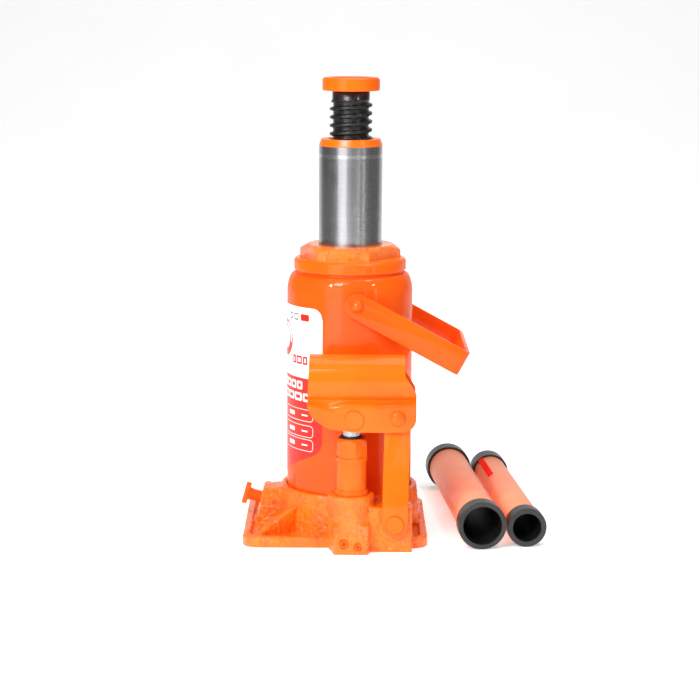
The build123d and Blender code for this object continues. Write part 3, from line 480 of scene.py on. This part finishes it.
def pressed_socket():
    """Handle socket as pressed sheet: roll, pinched neck, wavy set-out above the pin, flat flanges."""
    low, high = cad_box("handle_socket")
    plane_y = JOINTS["socket_swing"]["pos_m"][1] / MM
    sheet, edge_round, spare = 2.2, 0.55, 0.02
    roll_r = (high.y - low.y) / 2 - spare
    roll_z = high.z - roll_r - spare
    foot_z = low.z + spare
    neck_y, flange_y = 9.2, 12.2
    left_x, knee_z, knee_drop = -25.3, 95.0, 17.4
    right_x, corner_z, corner_r = 40.3, 83.6, 8.5
    roll_right_x, slope_top, slope_foot, slope = 33.4, 110.0, 97.6, 0.54
    roll_steps, neck_steps, flange_steps, columns = 21, 6, 14, 72

    def left(z):
        """Edge away from the link: it leans a little above the knee and sweeps in below it."""
        sweep = max(0.0, knee_z - z) / knee_drop
        return left_x + 9.0 * sweep ** 3 + 0.045 * max(0.0, z - knee_z)

    def right(z):
        """Edge at the link: short along the roll, then a slope outwards, then a rounded bottom corner."""
        if z > slope_top:
            return roll_right_x
        if z > slope_foot:
            return roll_right_x + 0.2 + (slope_top - z) * slope
        below = unit((corner_z - z) / corner_r)
        return right_x - corner_r * (1 - sqrt(1 - below * below))

    def set_out(x):
        """Height where the flange starts: it dips over the plunger's pin and again over the rivet."""
        return 92.3 - 3.6 * exp(-((x + 12.0) / 6.5) ** 2) - 1.2 * exp(-((x - 19.0) / 6.0) ** 2)

    def foot(x):
        """Bottom edge, which climbs towards the left."""
        return foot_z + 2.6 * unit((3.0 - x) / 19.5)

    def half_profile(x):
        """Outer points (y off the plane, z) from the roll's top down one side."""
        neck_angle = -atan2(sqrt(roll_r ** 2 - neck_y ** 2), neck_y)
        points = []
        for i in range(roll_steps + 1):
            angle = pi / 2 + (neck_angle - pi / 2) * i / roll_steps
            points.append((roll_r * cos(angle), roll_z + roll_r * sin(angle)))
        neck_z = points[-1][1]
        flange_z = set_out(x) - 0.8
        for i in range(1, neck_steps + 1):
            t = i / neck_steps
            points.append((neck_y + (flange_y - neck_y) * ease(t), neck_z + (flange_z - neck_z) * t))
        for i in range(1, flange_steps + 1):
            points.append((flange_y, flange_z + (foot(x) - flange_z) * i / flange_steps))
        return points

    middle = half_profile(4.0)
    rows = []
    for column in range(columns + 1):
        row = []
        for k in range(-len(middle) + 1, len(middle)):
            level = middle[abs(k)][1]
            x = left(level) + (right(level) - left(level)) * column / columns
            y, z = half_profile(x)[abs(k)]
            row.append((x * MM, (plane_y + (y if k > 0 else -y)) * MM, z * MM))
        rows.append(row)
    mesh = grid_mesh("socket", rows)
    if max(mesh.polygons, key=lambda p: p.center.z).normal.z < 0:
        mesh.flip_normals()
    piece = link("handle_socket_pressed", mesh, PAINT, "socket")
    thick = piece.modifiers.new("sheet", "SOLIDIFY")
    thick.thickness = sheet * MM
    thick.offset = -1.0
    edge = piece.modifiers.new("edge", "BEVEL")
    edge.width = edge_round * MM
    edge.segments = 3
    edge.limit_method = "ANGLE"
    edge.angle_limit = radians(50)
    smooth_by_angle(baked(piece), 30.0)
    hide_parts("handle_socket")


# ---- label, drawn on the tank's developed surface: s runs round the tank, z up ----
TANK_R = (cad_box("tank_shell")[1].x - cad_box("tank_shell")[0].x) / 2
LABEL_LOW, LABEL_HIGH = cad_box("label")
LABEL_HALF = TANK_R * radians(65.0)
LABEL_SIDE_Z = 55.5         # foot of the label at its sides; its middle reaches lower, to a point
LABEL_SPLIT_Z = 100.7       # white above, red below
FIELD_LIFT, PRINT_LIFT = 0.10, 0.15


def on_tank(s, z, lift):
    """Point on the tank's -X side, s millimetres round towards +Y, lift millimetres off the paint."""
    turn = s / TANK_R
    r = TANK_R + lift
    return (-r * cos(turn) * MM, r * sin(turn) * MM, z * MM)


def label_foot(s):
    """Height of the label's pointed foot at s."""
    return LABEL_LOW.z + (LABEL_SIDE_Z - LABEL_LOW.z) * abs(s) / LABEL_HALF


def label_field(name, bottom, top, material):
    """Stretch of label between two heights that may change round the tank."""
    columns, steps = 72, 10
    rows = []
    for i in range(columns + 1):
        s = -LABEL_HALF + 2 * LABEL_HALF * i / columns
        heights = [bottom(s) + (top(s) - bottom(s)) * k / steps for k in range(steps + 1)]
        rows.append([on_tank(s, z, FIELD_LIFT) for z in heights])
    mesh = grid_mesh(name, rows)
    if mesh.polygons[len(mesh.polygons) // 2].normal.x > 0:
        mesh.flip_normals()
    smooth_by_angle(mesh, 60.0)
    return link(name, mesh, material, "base")


def corner_trim(s, radius):
    """How far a rounded corner of that radius cuts in at s."""
    over = abs(s) - (LABEL_HALF - radius)
    return 0.0 if over <= 0 else radius - sqrt(max(0.0, radius ** 2 - over ** 2))


def rounded_loop(width, height, radius, count):
    """Evenly stepped outline of a rounded rectangle about the origin."""
    radius = min(radius, width / 2 - 0.01, height / 2 - 0.01)
    flat_w, flat_h = width - 2 * radius, height - 2 * radius
    arc = pi * radius / 2
    total = 2 * (flat_w + flat_h) + 4 * arc
    legs = [(flat_w, (-flat_w / 2, -height / 2), 0), (arc, (flat_w / 2, -flat_h / 2), -90),
            (flat_h, (width / 2, -flat_h / 2), 90), (arc, (flat_w / 2, flat_h / 2), 0),
            (flat_w, (flat_w / 2, height / 2), 180), (arc, (-flat_w / 2, flat_h / 2), 90),
            (flat_h, (-width / 2, flat_h / 2), 270), (arc, (-flat_w / 2, -flat_h / 2), 180)]
    points = []
    for i in range(count):
        at = total * i / count
        for index, (length, start, angle) in enumerate(legs):
            if at <= length:
                break
            at -= length
        if index % 2 == 0:
            points.append((start[0] + at * cos(radians(angle)), start[1] + at * sin(radians(angle))))
        else:
            turn = radians(angle) + (at / radius if radius else 0)
            points.append((start[0] + radius * cos(turn), start[1] + radius * sin(turn)))
    return points


def label_shapes(name, shapes, material):
    """Printed shapes: each is (s, z, width, height, corner radius, line width or 0 for solid)."""
    work = bmesh.new()
    for s0, z0, width, height, radius, line in shapes:
        count = 16 + 4 * int((width + height) / 1.2)
        loops = [rounded_loop(width, height, radius, count)]
        if line:
            loops.append(rounded_loop(width - 2 * line, height - 2 * line, max(0.05, radius - line), count))
        else:
            loops += [[(x * f, y * f) for x, y in loops[0]] for f in (0.8, 0.6, 0.4, 0.2, 0.02)]
        made = [[work.verts.new(on_tank(s0 + x, z0 + y, PRINT_LIFT)) for x, y in loop] for loop in loops]
        for outer, inner in zip(made, made[1:]):
            for i in range(count):
                j = (i + 1) % count
                work.faces.new((outer[i], outer[j], inner[j], inner[i]))
    mesh = mesh_from(work, name)
    for polygon in mesh.polygons:
        polygon.use_smooth = True
    facing_in = sum(1 for polygon in mesh.polygons if polygon.normal.x > 0)
    if facing_in * 2 > len(mesh.polygons):
        mesh.flip_normals()
    link(name, mesh, material, "base")


def printed_label():
    """White and red fields, with rings, bars and pills standing where such a label has its print."""
    white = label_field("label_white_field", lambda s: LABEL_SPLIT_Z,
                        lambda s: LABEL_HIGH.z - corner_trim(s, 7.0), LABEL_WHITE)
    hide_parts("label")
    label_field("label_red_field", lambda s: label_foot(s) + corner_trim(s, 6.0),
                lambda s: LABEL_SPLIT_Z, LABEL_RED)
    badge_z, caption_z, symbol_z = 123.5, 111.8, 138.6
    title_rows = ((95.9, ((6.0, 5.0), (12.4, 6.2), (19.4, 6.2), (26.2, 5.6))),
                  (88.6, ((8.0, 7.0), (16.2, 7.6), (24.6, 7.6), (32.2, 5.6))))
    red, white_marks, dark = [(0.0, badge_z, 36.0, 23.0, 11.4, 4.6)], [], []
    for side in (-1, 1):
        for place, width in ((20.6, 3.4), (25.8, 5.4), (31.4, 4.0)):
            red.append((side * place, caption_z, width, 5.2, 0.6, 1.2))
        red.append((side * 31.0, symbol_z, 7.4, 4.2, 1.0, 0.0))
        dark.append((side * 22.6, symbol_z, 4.6, 4.2, 1.4, 0.7))
        dark.append((side * 16.4, symbol_z, 4.2, 4.2, 2.0, 0.7))
        for z, bars in title_rows:
            for place, width in bars:
                white_marks.append((side * place, z, width, 5.2, 1.0, 1.5))
        for z in (77.4, 67.4, 58.6):
            white_marks.append((side * 22.5, z, 31.0, 7.6, 2.4, 0.35))
            white_marks.append((side * 17.0, z, 7.6, 2.6, 0.6, 0.0))
            white_marks.append((side * 31.0, z, 5.4, 0.9, 0.3, 0.0))
    label_shapes("label_print_red", red, LABEL_RED)
    label_shapes("label_print_white", white_marks, LABEL_WHITE)
    label_shapes("label_print_dark", dark, LABEL_DARK)


# =====================================================================
# studio
# =====================================================================

def area_light(name, place, target, size_x, size_y, radiance):
    light = bpy.data.lights.new(name, "AREA")
    light.shape = "RECTANGLE"
    light.size, light.size_y = size_x, size_y
    light.energy = radiance * pi * size_x * size_y
    lamp = bpy.data.objects.new(name, light)
    lamp.location = place
    lamp.rotation_euler = (Vector(target) - Vector(place)).to_track_quat("-Z", "Y").to_euler()
    bpy.context.scene.collection.objects.link(lamp)


def ring_place(azimuth, distance, height):
    """Point round the jack, in metres; azimuth runs from the camera's side towards +X."""
    turn = radians(azimuth)
    return (distance * sin(turn), -distance * cos(turn), height)


def lights():
    """Panels for the paint and the ram's streaks, small lamps for glints, and one for the backdrop."""
    middle, foot = (0, 0, 0.24), (0, 0, 0.1)
    area_light("overhead", (0.15, 0.2, 1.5), (0.05, 0, 0), 1.3, 1.0, 2.5)
    area_light("front_top", (-0.3, -1.0, 1.1), foot, 0.55, 0.4, 6.5)
    area_light("key_left", ring_place(-29, 0.8, 0.24), middle, 0.46, 0.5, 1.7)
    area_light("line_right", ring_place(29, 0.9, 0.24), middle, 0.03, 0.5, 3.0)
    area_light("edge_right", ring_place(48, 0.9, 0.24), middle, 0.04, 0.5, 3.6)
    area_light("lamp_left", ring_place(-24, 0.97, 0.80), (0, 0, 0.16), 0.30, 0.16, 30.0)
    area_light("lamp_right", ring_place(47, 1.05, 0.72), (0, 0, 0.16), 0.12, 0.05, 60.0)
    area_light("sparkle_left", ring_place(-38, 0.9, 0.62), foot, 0.05, 0.05, 480.0)
    area_light("tube_lamp", (0.35, -0.2, 0.9), (0.15, 0.02, 0.02), 0.12, 0.12, 24.0)
    area_light("backdrop", (0, 0.9, 1.9), (0, 3.2, 0.9), 2.4, 0.8, 5.0)


def surroundings():
    """A dim room for the reflections, seen as plain white where the floor ends."""
    world = bpy.data.worlds.new("studio")
    world.use_nodes = True
    tree = world.node_tree
    room = tree.nodes["Background"]
    room.inputs["Color"].default_value = grey(0.17)
    pale = tree.nodes.new("ShaderNodeBackground")
    pale.inputs["Color"].default_value = WHITE
    seen = tree.nodes.new("ShaderNodeLightPath")
    choose = tree.nodes.new("ShaderNodeMixShader")
    tree.links.new(seen.outputs["Is Camera Ray"], choose.inputs[0])
    tree.links.new(room.outputs[0], choose.inputs[1])
    tree.links.new(pale.outputs[0], choose.inputs[2])
    tree.links.new(choose.outputs[0], tree.nodes["World Output"].inputs["Surface"])
    bpy.context.scene.world = world


def pale_floor():
    n = Nodes("pale_floor")
    tone = n.ramp(n.noise(6.0, 3.0), [(0.3, grey(0.93)), (0.7, grey(0.95))])
    return n.principled(Base_Color=tone, Roughness=0.7, Emission_Color=WHITE, Emission_Strength=0.4)


def floor_sweep():
    """Floor that curves up behind the jack; it is narrow beside the jack and widens to the back."""
    near, back, rise, steps = -1.6, 2.2, 2.0, 40
    drop = 0.0002       # keeps it just clear of what stands on it
    rows = []
    for i in range(steps + 1):
        t = 2 * i / steps
        if t < 1:
            y, z = near + (back - near) * t, 0.0
        else:
            angle = (t - 1) * pi / 2
            y, z = back + rise * sin(angle), rise * (1 - cos(angle))
        half = 0.6 + 0.85 * max(0.0, y - 0.1)
        rows.append([(x, y, z - drop) for x in (-half, half)])
    mesh = grid_mesh("floor", rows)
    for polygon in mesh.polygons:
        polygon.use_smooth = True
    mesh.materials.append(pale_floor())
    floor = bpy.data.objects.new("floor", mesh)
    bpy.context.scene.collection.objects.link(floor)


def camera():
    """Long lens a little above the jack, tipped down and very slightly rolled."""
    data = bpy.data.cameras.new("camera")
    data.lens = 104.67
    data.sensor_width = 36.0
    data.clip_end = 30.0
    viewer = bpy.data.objects.new("camera", data)
    viewer.location = (-0.0017, -1.2658, 0.3332)
    viewer.rotation_euler = (radians(80.17), radians(-0.34), radians(-0.03))
    bpy.context.scene.collection.objects.link(viewer)
    bpy.context.scene.camera = viewer


# =====================================================================
# the jack
# =====================================================================

def dress_cad_nodes():
    """Every CAD node gets its slot's material; the ram and the tank have their own."""
    own = {"ram": RAM, "tank_shell": TANK_PAINT}
    for part in frame["record"]["subparts"]:
        mesh = frame["nodes"][part["node"]].data
        mesh.materials.clear()
        mesh.materials.append(own.get(part["node"]) or NODE_MATERIAL[part["material_slot"]])


dress_cad_nodes()
cast_skin("base_casting", 0.7, 0.62)
SEAT_TOP_Z = (cad_box("cap_nut")[0].z + 7.7) * MM       # the nut's turned seat and flange stay smooth
cast_skin("cap_nut", 0.5, 0.12, smooth_below=SEAT_TOP_Z, rounds=3)
cast_skin("saddle", 0.4, 0.10, material=PAINT, rounds=3)
dark_inside("handle_tube_outer", "outer_tube_bore")
dark_inside("handle_tube_inner", "inner_tube_bore")
screw_thread()
pressed_socket()
printed_label()
bevelled("link_bar_front", 0.45)
bevelled("link_bar_rear", 0.45)
bevelled("pump_body", 0.35)
bevelled("release_valve_screw", 0.3)
bevelled("bail", 0.5, material=TANK_PAINT)
bpy.context.scene.view_settings.view_transform = "Standard"
surroundings()
lights()
floor_sweep()
camera()
